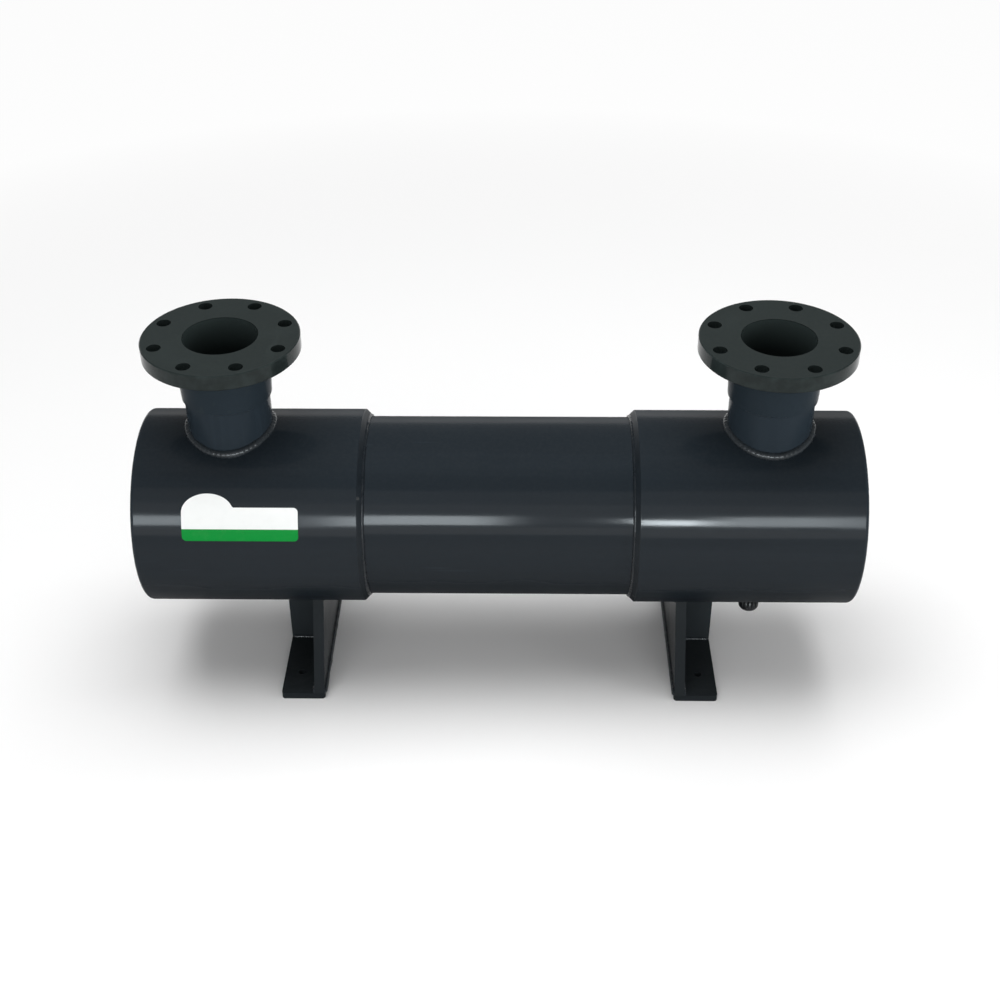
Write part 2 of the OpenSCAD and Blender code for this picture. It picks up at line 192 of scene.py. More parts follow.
# Panes of the window in front: start and end along X, low and high edge, and share of the
# brightness
WINDOW_PANES = (
    (-1.65, -0.98, 0.81, 1.42, 0.80),
    (-0.82, -0.60, 0.70, 1.46, 0.20),
    (-0.60, -0.04, 0.81, 1.42, 1.00),
    (0.43, 0.64, 0.95, 1.27, 3.90),
    (0.70, 1.14, 0.90, 1.51, 0.80),
    (1.14, 1.65, 0.81, 1.56, 0.45),
)
WINDOW_Y = -3.0
WINDOW_TINT = (0.86, 0.95, 1.0)
SENSOR_WIDTH = 36.0


def size_prop(name, description, default):
    """A length that a user may change."""
    return bpy.props.FloatProperty(
        name=name, description=description, default=default, unit="LENGTH", precision=5, min=0.0
    )


def share_prop(name, description, default, top=1.0):
    """A share or a strength that a user may change."""
    return bpy.props.FloatProperty(
        name=name, description=description, default=default, min=0.0, max=top
    )


def angle_prop(name, description, degrees):
    """An angle that a user may change."""
    return bpy.props.FloatProperty(
        name=name, description=description, default=math.radians(degrees), subtype="ANGLE"
    )


def colour_prop(name, description, default):
    """A linear colour that a user may change."""
    return bpy.props.FloatVectorProperty(
        name=name, description=description, default=default,
        subtype="COLOR", size=3, min=0.0, max=1.0,
    )


class ClarifierVesselLooks(bpy.types.PropertyGroup):
    """Finish of the pipes, flanges, plates and feet."""

    pvc: colour_prop("Pipe grey", "Colour of the extruded pipes", (0.0115, 0.0165, 0.0215))
    flange: colour_prop("Flange grey", "Colour of the moulded flanges", (0.0155, 0.0211, 0.0208))
    sheet: colour_prop("Sheet grey", "Colour of the cut sheet", (0.0165, 0.0200, 0.0225))
    weld: colour_prop("Weld grey", "Colour of the weld rod", (0.0235, 0.0295, 0.0345))
    dust: colour_prop("Dust", "Colour of the dust on faces that look up", (0.1200, 0.1220, 0.1150))
    gloss: share_prop("Gloss", "How bright the plastic's reflection is", 0.16)
    roughness: share_prop("Roughness", "How blurred the plastic's reflection is", 0.11)


class ClarifierBeadLooks(bpy.types.PropertyGroup):
    """Sizes of the welds and of the cement."""

    port: size_prop("Port weld", "Radius of the bead round a branch", 6.0 * MM)
    port_pitch: size_prop("Ripple", "Distance between a weld's ripples", 6.5 * MM)
    foot: size_prop("Foot weld", "Radius of the beads on the feet", 3.4 * MM)
    plate: size_prop("Plate weld", "Radius of the beads round the end plates", 3.2 * MM)
    hub: size_prop("Hub cement", "Radius of the cement under a flange's hub", 1.5 * MM)
    step: size_prop("Step cement", "Radius of the cement in the steps of the vessel", 2.7 * MM)


class ClarifierLabelLooks(bpy.types.PropertyGroup):
    """Size, place and colours of the bare label."""

    white: colour_prop("White", "Colour of the label's field", (0.92, 0.94, 0.93))
    band: colour_prop("Band", "Colour of the band along its lower edge", (0.0015, 0.265, 0.038))
    start_x: bpy.props.FloatProperty(
        name="Start", description="Left end along the vessel", default=-0.421, unit="LENGTH"
    )
    width: size_prop("Width", "Size along the vessel", 0.155)
    low: angle_prop("Low edge", "Angle above the front", 14.2)
    band_top: angle_prop("Band edge", "Angle above the front", 21.2)
    high: angle_prop("High edge", "Angle above the front", 33.6)
    corner: size_prop("Corner", "Radius of its corners", 6 * MM)
    arch_width: size_prop("Arch width", "Width of the round rise at its left end", 69.4 * MM)
    arch_rise: size_prop("Arch rise", "Height of the arch above its own foot", 25.4 * MM)
    arch_foot: size_prop("Arch foot", "Depth of the arch's foot below the high edge", 6.9 * MM)
    thickness: size_prop("Thickness", "Thickness of the film", 0.3 * MM)


class ClarifierFittingLooks(bpy.types.PropertyGroup):
    """Finish of the drain, glands and lamps."""

    nut: colour_prop("Nut black", "Colour of the nuts and the drain plug", (0.011, 0.012, 0.014))
    rubber: colour_prop("Rubber", "Colour of the seals and plugs", (0.010, 0.010, 0.010))
    washer: colour_prop("Washer", "Colour of the thrust washers", (0.72, 0.72, 0.69))
    ceramic: colour_prop("Ceramic", "Colour of the lamps' ends", (0.80, 0.77, 0.71))
    pin: colour_prop("Pins", "Colour of the lamps' pins", (0.62, 0.57, 0.46))
    glass: colour_prop("Glass", "Tint of the quartz", (0.95, 0.98, 1.0))
    wire: colour_prop("Wire", "Colour of the filaments", (0.30, 0.29, 0.27))
    filament: size_prop("Filament", "Radius of the coil in a lamp's end", 1.6 * MM)


class ClarifierStageLooks(bpy.types.PropertyGroup):
    """Floor, light and camera."""

    floor: colour_prop("Floor", "Colour of the floor", (0.95, 0.95, 0.95))
    sky: share_prop("Sky", "Strength of the even light from all round", 0.26, 10.0)
    overhead: share_prop("Overhead", "Strength of the soft light above", 86.0, 5000.0)
    front: share_prop("Front", "Strength of the broad light in front", 40.0, 5000.0)
    upper: share_prop("Upper", "Strength of the light above the one in front", 12.0, 5000.0)
    side: share_prop("Side", "Strength of the light from the right", 27.0, 5000.0)
    window: share_prop("Window", "Brightness of the panes in the long highlight", 19.0, 200.0)
    target: bpy.props.FloatVectorProperty(
        name="Target", description="Point that the camera looks at",
        default=(0.00058, 0.0, 0.31991), unit="LENGTH",
    )
    distance: size_prop("Distance", "From the camera to the target", 2.05206)
    elevation: angle_prop("Elevation", "Height of the camera", 34.29)
    yaw: angle_prop("Yaw", "Turn of the camera", -0.9135)
    roll: angle_prop("Roll", "Tilt of the camera", -0.2597)
    lens: bpy.props.FloatProperty(
        name="Lens", description="Focal length in millimetres", default=53.27
    )
    shift: bpy.props.FloatProperty(
        name="Shift", description="Vertical shift of the lens", default=-0.036
    )


class NodeWork:
    """Adds nodes to a tree: plain values are set on sockets, and sockets are linked."""

    def __init__(self, tree):
        self.tree = tree

    def join(self, value, socket):
        if isinstance(value, bpy.types.NodeSocket):
            self.tree.links.new(value, socket)
        else:
            socket.default_value = value

    def add(self, kind, inputs=None, outlet=0, **settings):
        node = self.tree.nodes.new(kind)
        for key, value in settings.items():
            setattr(node, key, value)
        for key, value in (inputs or {}).items():
            self.join(value, node.inputs[key])
        return node.outputs[outlet]

    def math(self, operation, *values):
        return self.add("ShaderNodeMath", dict(enumerate(values)), operation=operation)

    def product(self, first, *others):
        for other in others:
            first = self.math("MULTIPLY", first, other)
        return first

    def ramp(self, value, low, high, to_low=0.0, to_high=1.0):
        """Maps low and high to two other values, and stops there."""
        ends = {"From Min": low, "From Max": high, "To Min": to_low, "To Max": to_high}
        return self.add("ShaderNodeMapRange", {"Value": value, **ends})


class Finish(NodeWork):
    """A procedural material on Object coordinates, built up in layers."""

    def __init__(self, name, colour, roughness, **sockets):
        self.material = bpy.data.materials.new(name)
        self.material.use_nodes = True
        super().__init__(self.material.node_tree)
        self.shader = self.tree.nodes["Principled BSDF"]
        self.place = self.add("ShaderNodeTexCoord", outlet="Object")
        self.colour = (*colour, 1.0)
        self.roughness = roughness
        self.gloss = None
        self.normal = None
        for key, value in sockets.items():
            self.shader.inputs[key.replace("_", " ")].default_value = value

    def axis(self, letter, place=None):
        """One coordinate of the surface point."""
        inputs = {0: place or self.place}
        return self.add("ShaderNodeSeparateXYZ", inputs, outlet="XYZ".index(letter))

    def facing(self, letter):
        """How far a face looks along an axis, from -1 to 1."""
        return self.axis(letter, self.add("ShaderNodeTexCoord", outlet="Normal"))

    def reach(self, *sides):
        """Distance from a line, from the two coordinates across it."""
        squares = [self.math("POWER", side, 2.0) for side in sides]
        return self.math("SQRT", self.math("ADD", *squares))

    def nearness(self, point, size):
        """From 1 at a point to 0 at a distance from it."""
        ends = {0: self.place, 1: point}
        gap = self.add("ShaderNodeVectorMath", ends, outlet="Value", operation="DISTANCE")
        return self.ramp(gap, size * 0.4, size, 1.0, 0.0)

    def noise(self, scale, seed, stretch=(1.0, 1.0, 1.0), detail=2.0):
        where = self.add("ShaderNodeMapping", {"Vector": self.place, "Scale": stretch})
        inputs = {"Vector": where, "W": seed, "Scale": scale, "Detail": detail}
        return self.add("ShaderNodeTexNoise", inputs, noise_dimensions="4D")

    def stain(self, amount, colour):
        """Takes the colour towards another by an amount that varies."""
        inputs = {0: amount, 6: self.colour, 7: (*colour, 1.0)}
        self.colour = self.add("ShaderNodeMix", inputs, outlet=2, data_type="RGBA")

    def blur(self, amount):
        """Adds to the roughness."""
        self.roughness = self.math("ADD", self.roughness, amount)

    def emboss(self, height, depth):
        """Raises the surface by a height from 0 to 1 times a depth in metres."""
        inputs = {"Height": height, "Distance": depth, "Strength": 1.0}
        if self.normal:
            inputs["Normal"] = self.normal
        self.normal = self.add("ShaderNodeBump", inputs)

    def done(self):
        self.join(self.colour, self.shader.inputs["Base Color"])
        self.join(self.roughness, self.shader.inputs["Roughness"])
        if self.gloss:
            self.join(self.gloss, self.shader.inputs["Specular IOR Level"])
        if self.normal:
            self.join(self.normal, self.shader.inputs["Normal"])
        return self.material


def brighter(colour, factor):
    """The same hue, lighter or darker."""
    return tuple(min(1.0, channel * factor) for channel in colour)


def handled_plastic(name, colour, looks, grain, shine=1.0):
    """Grey plastic with clouds, lines along its grain, rubbed patches and dust on top.

    Its underside is dull and darkened by painted shade, and the rear of its top is dull. Shine
    scales its gloss.
    """
    finish = Finish(name, colour, looks.roughness)
    clouds = finish.noise(5.0, seed=1.0, detail=5.0)
    finish.stain(finish.ramp(clouds, 0.35, 0.80, 0.0, 0.25), brighter(colour, 1.30))
    lines = finish.noise(1.0, seed=2.0, stretch=grain, detail=3.0)
    finish.stain(finish.ramp(lines, 0.52, 0.80, 0.0, 0.35), brighter(colour, 1.5))
    rubs = finish.noise(14.0, seed=3.0, stretch=(0.6, 1.0, 1.0), detail=6.0)
    finish.blur(finish.ramp(rubs, 0.42, 0.72, -0.02, 0.05))
    tilt = finish.facing("Z")
    up = finish.ramp(tilt, 0.35, 1.0)
    specks = finish.ramp(finish.noise(220.0, seed=4.0, detail=8.0), 0.40, 0.85, 0.01, 0.05)
    finish.stain(finish.product(up, specks), looks.dust)
    finish.blur(finish.product(up, 0.06))
    finish.blur(finish.ramp(tilt, -0.15, -0.70, 0.0, 0.40))
    # Painted shade: the base colour darkens on faces that look down.
    finish.stain(finish.ramp(tilt, -0.05, -0.60, 0.0, 0.55), brighter(colour, 0.25))
    gloss = looks.gloss * shine
    finish.gloss = finish.ramp(tilt, 0.10, -0.45, gloss, gloss * 0.22)
    rear = finish.ramp(finish.facing("Y"), 0.1, 0.4)
    finish.blur(finish.product(finish.ramp(tilt, 0.5, 0.8), rear, 0.45))
    finish.emboss(finish.noise(9.0, seed=5.0, stretch=(0.5, 1.0, 1.0), detail=1.0), 0.35 * MM)
    finish.emboss(lines, 0.02 * MM)
    return finish


def scratched(finish, seed, stretch, colour):
    """Adds fine scratches that run across the stretch."""
    marks = finish.ramp(finish.noise(1.0, seed=seed, stretch=stretch, detail=1.0), 0.705, 0.730)
    patches = finish.ramp(finish.noise(4.0, seed=seed + 0.5), 0.50, 0.62)
    finish.stain(finish.product(marks, patches, 0.2), colour)


def pipe_finish(looks):
    """Extruded pipe: lines along the vessel, chipped rims, painted shade in the steps, cement
    smears.
    """
    finish = handled_plastic("vessel_pvc", looks.pvc, looks, (0.8, 46.0, 46.0))
    scratched(finish, 7.0, (6.0, 90.0, 90.0), brighter(looks.pvc, 3.0))
    along = finish.math("ABSOLUTE", finish.axis("X"))
    chips = finish.ramp(finish.noise(55.0, seed=8.0, detail=5.0), 0.36, 0.70)
    rim = finish.ramp(along, RIM_X - 5.5 * MM, RIM_X - 1.5 * MM)
    finish.stain(finish.product(rim, chips, 0.45), brighter(looks.pvc, 3.2))
    # Painted shade in the steps: a patchy dark band beside each step, which is also rougher.
    near_step = finish.math("ABSOLUTE", finish.math("SUBTRACT", along, STEP_X + 2.0 * MM))
    grime_and_shade = finish.ramp(near_step, 5.0 * MM, 2.5 * MM)
    shade_patchiness = finish.ramp(chips, 0.0, 1.0, 0.55, 0.20)
    finish.stain(finish.product(grime_and_shade, shade_patchiness), brighter(looks.pvc, 0.3))
    finish.blur(finish.product(grime_and_shade, 0.25))
    blots = finish.ramp(finish.noise(170.0, seed=24.0, detail=4.0), 0.42, 0.58, 0.0, 0.7)
    for x, angle, size in CEMENT_SMEARS:
        turn = math.radians(angle)
        across, height = -CHAMBER_R * math.cos(turn), AXIS_Z + CHAMBER_R * math.sin(turn)
        spot = finish.nearness((x, across, height), size)
        finish.stain(finish.product(spot, blots), brighter(looks.dust, 1.6))
    return finish.done()


def from_port(finish):
    """Distance from the upright axis of the nearer port."""
    along = finish.math("SUBTRACT", finish.math("ABSOLUTE", finish.axis("X")), PORT_X)
    return finish.reach(along, finish.axis("Y"))


def paint_bore_shade_and_light(finish, radius, colour):
    """Painted light and shade in the mouth of a port: a paler painted lit band just below the face,
    and painted shade deeper in.
    """
    within = finish.ramp(radius, BRANCH_R - 3.0 * MM, BRANCH_R - 5.0 * MM)
    height = finish.axis("Z")
    below_face = finish.ramp(height, FLANGE_FACE_Z - 0.3 * MM, FLANGE_FACE_Z - 1.5 * MM)
    inside = finish.product(within, below_face)
    shallow = finish.ramp(height, FLANGE_FACE_Z - 48.0 * MM, FLANGE_FACE_Z - 2.0 * MM)
    # Painted shade deep in the bore, then a painted lit band near the face.
    finish.stain(inside, brighter(colour, 0.28))
    finish.stain(finish.product(inside, shallow), colour)


def branch_finish(looks):
    """Extruded pipe that stands upright, duller than the vessel, with pale upright runs that also
    paint streaks of reflection.
    """
    colour = brighter(looks.pvc, 2.0)
    finish = handled_plastic("branch_pvc", colour, looks, (46.0, 46.0, 0.8), shine=0.3)
    scratched(finish, 9.0, (90.0, 90.0, 7.0), brighter(looks.pvc, 2.6))
    # Pale upright streaks: runs, and painted reflection streaks down the pipe.
    pale_streaks = finish.noise(1.0, seed=10.0, stretch=(70.0, 70.0, 3.0), detail=2.0)
    finish.stain(finish.ramp(pale_streaks, 0.60, 0.74, 0.0, 0.40), brighter(looks.pvc, 2.8))
    finish.blur(0.12)
    # The bore gets painted light and shade.
    paint_bore_shade_and_light(finish, from_port(finish), brighter(looks.flange, 2.4))
    return finish.done()


def flange_finish(looks):
    """Moulded flange, with turned rings on its face, rubbed edges and a duller, bluer hub."""
    finish = handled_plastic("flange_pvc", looks.flange, looks, (20.0, 20.0, 20.0))
    radius = from_port(finish)
    rings = finish.math("SINE", finish.product(radius, 2 * math.pi / (2.2 * MM)))
    face = finish.ramp(finish.axis("Z"), FLANGE_FACE_Z - 0.4 * MM, FLANGE_FACE_Z - 0.1 * MM)
    finish.emboss(finish.product(rings, face), 0.012 * MM)
    finish.blur(finish.product(face, 0.34))
    hub = finish.ramp(finish.axis("Z"), FLANGE_FACE_Z - 20.0 * MM, FLANGE_FACE_Z - 45.0 * MM)
    finish.stain(finish.product(hub, 0.85), brighter(looks.pvc, 2.16))
    finish.gloss = finish.product(finish.gloss, finish.ramp(hub, 0.0, 1.0, 1.0, 0.15))
    finish.blur(finish.product(hub, 0.12))
    chips = finish.ramp(finish.noise(70.0, seed=12.0, detail=5.0), 0.40, 0.68)
    outer = finish.ramp(radius, FLANGE_R - 1.8 * MM, FLANGE_R - 0.8 * MM)
    finish.stain(finish.product(outer, chips, 0.30), brighter(looks.flange, 2.8))
    scratched(finish, 13.0, (60.0, 8.0, 60.0), brighter(looks.flange, 2.6))
    # The bore gets painted light and shade.
    paint_bore_shade_and_light(finish, radius, brighter(looks.flange, 2.4))
    return finish.done()


def sheet_finish(name, colour, looks):
    """Cut sheet, nearly matt, with the saw's lines and scratches."""
    finish = handled_plastic(name, colour, looks, (30.0, 30.0, 4.0), shine=0.12)
    saw = finish.noise(1.0, seed=15.0, stretch=(30.0, 260.0, 30.0), detail=1.0)
    finish.emboss(saw, 0.05 * MM)
    finish.blur(0.10)
    scratched(finish, 16.0, (70.0, 9.0, 70.0), brighter(colour, 3.0))
    return finish.done()


def plate_finish(looks):
    """Turned end plate, with rings about the vessel's axis."""
    finish = handled_plastic("plate_pvc", looks.sheet, looks, (20.0, 20.0, 20.0))
    height = finish.math("SUBTRACT", finish.axis("Z"), AXIS_Z)
    radius = finish.reach(height, finish.axis("Y"))
    rings = finish.math("SINE", finish.product(radius, 2 * math.pi / (1.6 * MM)))
    finish.emboss(rings, 0.012 * MM)
    finish.blur(0.06)
    return finish.done()


def bead_finish(looks):
    """Weld rod, fused: paler and glossier than the pipes, with scorched flecks."""
    finish = Finish("weld_pvc", looks.weld, 0.22, Specular_IOR_Level=0.32)
    flecks = finish.noise(120.0, seed=20.0, detail=4.0)
    finish.stain(finish.ramp(flecks, 0.50, 0.72, 0.0, 0.6), brighter(looks.weld, 0.5))
    pale = finish.ramp(finish.noise(30.0, seed=21.0), 0.48, 0.75, 0.0, 0.5)
    finish.stain(pale, brighter(looks.weld, 1.7))
    finish.blur(finish.ramp(flecks, 0.4, 0.7, -0.05, 0.12))
    finish.emboss(flecks, 0.08 * MM)
    return finish.done()


def cement_finish(looks):
    """Solvent cement: close to the pipe's colour but darker, a painted shade that makes each joint
    read as a shaded groove; glossy and lumpy.
    """
    # Painted shade: the cement's colour is the pipe grey darkened.
    finish = Finish("cement_pvc", brighter(looks.pvc, 0.7), 0.30, Specular_IOR_Level=0.25)
    lumps = finish.noise(80.0, seed=23.0, detail=3.0)
    finish.stain(finish.ramp(lumps, 0.55, 0.80, 0.0, 0.35), looks.weld)
    finish.blur(finish.ramp(lumps, 0.4, 0.7, -0.04, 0.12))
    finish.emboss(lumps, 0.2 * MM)
    return finish.done()


def moulded_finish(name, colour, roughness, speckle):
    """Injection-moulded plastic, with a fine spark grain and rubbed patches."""
    finish = Finish(name, colour, roughness, Specular_IOR_Level=0.3)
    specks = finish.noise(40.0, seed=25.0, detail=4.0)
    finish.stain(finish.ramp(specks, 0.45, 0.75, 0.0, speckle), brighter(colour, 1.8))
    rubs = finish.noise(25.0, seed=26.0, detail=4.0)
    finish.blur(finish.ramp(rubs, 0.4, 0.7, -0.04, 0.10))
    finish.emboss(finish.noise(900.0, seed=27.0), 0.05 * MM)
    return finish.done()


def rubber_finish(looks):
    """Matt rubber with a grey bloom."""
    finish = Finish("seal_rubber", looks.rubber, 0.62, Specular_IOR_Level=0.25)
    bloom = finish.noise(45.0, seed=29.0, detail=6.0)
    finish.stain(finish.ramp(bloom, 0.42, 0.80, 0.0, 0.5), brighter(looks.rubber, 3.0))
    finish.blur(finish.ramp(bloom, 0.4, 0.7, -0.08, 0.12))
    finish.emboss(finish.noise(500.0, seed=30.0), 0.06 * MM)
    return finish.done()


def glass_finish(name, looks, haze):
    """Clear quartz, faintly hazed by handling."""
    finish = Finish(name, looks.glass, haze, Transmission_Weight=1.0, IOR=1.46)
    smears = finish.noise(20.0, seed=32.0, stretch=(0.15, 1.0, 1.0), detail=4.0)
    finish.blur(finish.ramp(smears, 0.50, 0.75, 0.0, 0.06))
    return finish.done()


def ceramic_finish(looks):
    """Glazed ceramic end with metal pins beyond its face."""
    finish = Finish("lamp_ceramic", looks.ceramic, 0.32)
    soot = finish.ramp(finish.noise(90.0, seed=34.0, detail=5.0), 0.5, 0.8, 0.0, 0.4)
    finish.stain(soot, brighter(looks.ceramic, 0.6))
    beyond = finish.ramp(finish.axis("X"), PIN_ROOT_X, PIN_ROOT_X + 0.1 * MM)
    finish.stain(beyond, looks.pin)
    finish.emboss(finish.noise(300.0, seed=35.0), 0.03 * MM)
    finish.join(beyond, finish.shader.inputs["Metallic"])
    return finish.done()


def wire_finish(looks):
    """Bare wire, darkened by heat."""
    finish = Finish("filament_wire", looks.wire, 0.35, Metallic=1.0)
    heat = finish.ramp(finish.noise(600.0, seed=37.0), 0.4, 0.7, 0.0, 0.7)
    finish.stain(heat, brighter(looks.wire, 0.4))
    return finish.done()


def wear(names, material):
    """Puts a finish on packed solids."""
    for name in names:
        mesh = NODES[name].data
        mesh.materials.clear()
        mesh.materials.append(material)


def both(stem):
    """The names of a piece on the two sides."""
    return [f"{stem}_{side}" for side in SIDES]


def each_lamp(stem):
    """The names of a piece at the four lamps."""
    return [f"{stem}_{i}" for i in LAMPS]


def holder_mesh(name, paths):
    """A mesh of edges alone: one chain of points for each (points, closed) path."""
    points, edges = [], []
    for path, closed in paths:
        first = len(points)
        points.extend(path)
        edges.extend((first + i, first + i + 1) for i in range(len(path) - 1))
        if closed:
            edges.append((len(points) - 1, first))
    mesh = bpy.data.meshes.new(name)
    mesh.from_pydata(points, edges, [])
    return mesh


class ShapeTree(NodeWork):
    """A geometry node tree with named inputs. It ends in Realize Instances and Set Material."""

    def __init__(self, name, lengths=(), numbers=(), counts=()):
        super().__init__(bpy.data.node_groups.new(name, "GeometryNodeTree"))
        self.keys = {}
        self.tree.interface.new_socket(
            "Geometry", in_out="OUTPUT", socket_type="NodeSocketGeometry"
        )
        self.ask("Geometry", ["Geometry"])
        self.ask("Float", [*lengths, *numbers])
        self.ask("Int", counts)
        self.ask("Material", ["Material"])
        for label in lengths:
            self.keys[label].subtype = "DISTANCE"
        self.given = self.tree.nodes.new("NodeGroupInput").outputs

    def ask(self, kind, labels):
        """Adds inputs of one kind to the tree."""
        for label in labels:
            self.keys[label] = self.tree.interface.new_socket(
                label, in_out="INPUT", socket_type="NodeSocket" + kind
            )

    def sweep(self, curve, profile, scale):
        """Sweeps a profile along a curve, and closes the tree."""
        inputs = {"Curve": curve, "Profile Curve": profile, "Scale": scale, "Fill Caps": True}
        mesh = self.add("GeometryNodeCurveToMesh", inputs)
        mesh = self.add("GeometryNodeSetShadeSmooth", {"Geometry": mesh, "Shade Smooth": True})
        mesh = self.add("GeometryNodeRealizeInstances", {"Geometry": mesh})
        inputs = {"Geometry": mesh, "Material": self.given["Material"]}
        mesh = self.add("GeometryNodeSetMaterial", inputs)
        self.join(mesh, self.tree.nodes.new("NodeGroupOutput").inputs[0])

    def end_fade(self, length):
        """A factor that runs from nothing to 1 over a length at both ends of a curve."""
        done = self.add("GeometryNodeSplineParameter", outlet="Length")
        whole = self.add("GeometryNodeSplineLength", outlet="Length")
        nearest = self.math("MINIMUM", done, self.math("SUBTRACT", whole, done))
        least = 0.01 * MM
        length = self.math("MAXIMUM", length, least)
        share = self.math("DIVIDE", self.math("ADD", nearest, least), length)
        return self.math("MINIMUM", share, 1.0)


def bead_tree():
    """A bead of weld or cement along each path, with ripples, lumps and a wandering line."""
    tree = ShapeTree(
        "Bead",
        lengths=("Radius", "Ripple Pitch", "Lump Size", "Wander", "Taper", "Spacing"),
        numbers=("Ripple Depth", "Lumps", "Seed"),
        counts=("Sides",),
    )
    given = tree.given
    curve = tree.add("GeometryNodeMeshToCurve", {"Mesh": given["Geometry"]})
    inputs = {"Curve": curve, "Length": given["Spacing"]}
    curve = tree.add("GeometryNodeResampleCurve", inputs, mode="LENGTH")
    frequency = tree.math("DIVIDE", 1.0, given["Lump Size"])
    noise_inputs = {"W": given["Seed"], "Scale": frequency, "Detail": 2.0}
    sway = tree.add("ShaderNodeTexNoise", noise_inputs, outlet="Color", noise_dimensions="4D")
    sway = tree.add("ShaderNodeVectorMath", {0: sway, 1: (0.5, 0.5, 0.5)}, operation="SUBTRACT")
    sway = tree.add("ShaderNodeVectorMath", {0: sway, "Scale": given["Wander"]}, operation="SCALE")
    curve = tree.add("GeometryNodeSetPosition", {"Geometry": curve, "Offset": sway})
    done = tree.add("GeometryNodeSplineParameter", outlet="Length")
    phase = tree.product(tree.math("DIVIDE", done, given["Ripple Pitch"]), math.pi)
    crest = tree.math("ABSOLUTE", tree.math("SINE", phase))
    ripple = tree.product(tree.math("SUBTRACT", crest, 1.0), given["Ripple Depth"])
    lump = tree.add("ShaderNodeTexNoise", noise_inputs, noise_dimensions="4D")
    lump = tree.product(tree.math("SUBTRACT", lump, 0.5), given["Lumps"])
    scale = tree.math("ADD", tree.math("ADD", 1.0, ripple), lump)
    scale = tree.product(scale, tree.end_fade(given["Taper"]))
    circle = {"Resolution": given["Sides"], "Radius": given["Radius"]}
    tree.sweep(curve, tree.add("GeometryNodeCurvePrimitiveCircle", circle), scale)
    return tree


def helix_tree():
    """A wire wound up the Z axis: a thread's ridge or a coil."""
    tree = ShapeTree(
        "Helix",
        lengths=("Coil Radius", "Pitch", "Wire Radius", "Taper"),
        numbers=("Turns",),
        counts=("Wire Sides", "Steps"),
    )
    given = tree.given
    spiral = {
        "Resolution": given["Steps"],
        "Rotations": given["Turns"],
        "Start Radius": given["Coil Radius"],
        "End Radius": given["Coil Radius"],
        "Height": tree.product(given["Pitch"], given["Turns"]),
        "Reverse": True,
    }
    curve = tree.add("GeometryNodeCurveSpiral", spiral)
    curve = tree.add("GeometryNodeSetCurveNormal", {"Curve": curve}, mode="Z_UP")
    wire = {"Resolution": given["Wire Sides"], "Radius": given["Wire Radius"]}
    profile = tree.add("GeometryNodeCurvePrimitiveCircle", wire)
    tree.sweep(curve, profile, tree.end_fade(given["Taper"]))
    return tree


def shaped(name, tree, holder, values, material):
    """Runs a tree on a holder mesh and returns the plain mesh that it makes."""
    maker = bpy.data.objects.new(name + "_maker", holder)
    bpy.context.scene.collection.objects.link(maker)
    modifier = maker.modifiers.new(tree.tree.name, "NODES")
    modifier.node_group = tree.tree
    for label, value in {**values, "Material": material}.items():
        modifier[tree.keys[label].identifier] = value
    maker.update_tag()
    bpy.context.view_layer.update()
    shown = maker.evaluated_get(bpy.context.evaluated_depsgraph_get())
    mesh = bpy.data.meshes.new_from_object(shown)
    mesh.name = name
    maker.modifiers.clear()
    bpy.data.objects.remove(maker)
    return mesh


def turned_outwards(mesh):
    """Makes the faces of a closed mesh point out."""
    work = bmesh.new()
    work.from_mesh(mesh)
    bmesh.ops.recalc_face_normals(work, faces=work.faces)
    work.to_mesh(mesh)
    work.free()
    return mesh


def placed(name, mesh, body, stands_for=()):
    """Makes a mesh a piece that rides on a body."""
    piece = bpy.data.objects.new(name, mesh)
    bpy.context.scene.collection.objects.link(piece)
    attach(piece, body)
    if stands_for:
        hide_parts(*stands_for)


def joined(name, meshes):
    """One mesh from several, with the first one's material."""
    work = bmesh.new()
    for mesh in meshes:
        work.from_mesh(mesh)
    whole = bpy.data.meshes.new(name)
    work.to_mesh(whole)
    work.free()
    for material in meshes[0].materials:
        whole.materials.append(material)
    return whole


def lay_bead(kind, side, tree, paths, material, radius, pitch, seed, stands_for=()):
    """Lays one kind of bead along the paths on the vessel. It may stand for a plain solid."""
    depth, lumps, wander, taper = BEAD_STYLES[kind]
    values = {
        "Radius": radius,
        "Ripple Pitch": pitch,
        "Lump Size": radius * LUMP_LENGTH,
        "Wander": wander,
        "Taper": taper,
        "Spacing": pitch / RIPPLE_STEPS,
        "Ripple Depth": depth,
        "Lumps": lumps,
        "Seed": seed,
        "Sides": BEAD_SIDES,
    }
    mesh = shaped(kind, tree, holder_mesh(kind + "_path", paths), values, material)
    name = f"{kind}_{side}" if side else kind
    placed(name, turned_outwards(mesh), "vessel", stands_for)


def circle_x(x, radius, centre_y=0.0, centre_z=AXIS_Z, steps=160):
    """A closed circle about a line along the vessel."""
    path = []
    for i in range(steps):
        a = 2 * math.pi * i / steps
        path.append((x, centre_y + radius * math.sin(a), centre_z + radius * math.cos(a)))
    return path, True


def circle_z(x, radius, z, steps=120):
    """A closed circle about an upright line in the vessel's middle plane."""
    path = []
    for i in range(steps):
        a = 2 * math.pi * i / steps
        path.append((x + radius * math.cos(a), radius * math.sin(a), z))
    return path, True


def saddle(x, radius, seat, side, steps=160):
    """The closed curve where an upright pipe meets the chamber's top (side 1) or underside (-1)."""
    path = []
    for i in range(steps):
        a = 2 * math.pi * i / steps
        y = radius * math.sin(a)
        path.append((x + radius * math.cos(a), y, AXIS_Z + side * math.sqrt(seat * seat - y * y)))
    return path, True


def straight(start, end, steps=24):
    """An open straight path."""
    start, end = Vector(start), Vector(end)
    return [tuple(start.lerp(end, i / steps)) for i in range(steps + 1)], False


def under_chamber(x, y):
    """A point on the chamber's underside."""
    return x, y, AXIS_Z - math.sqrt(CHAMBER_R * CHAMBER_R - y * y)


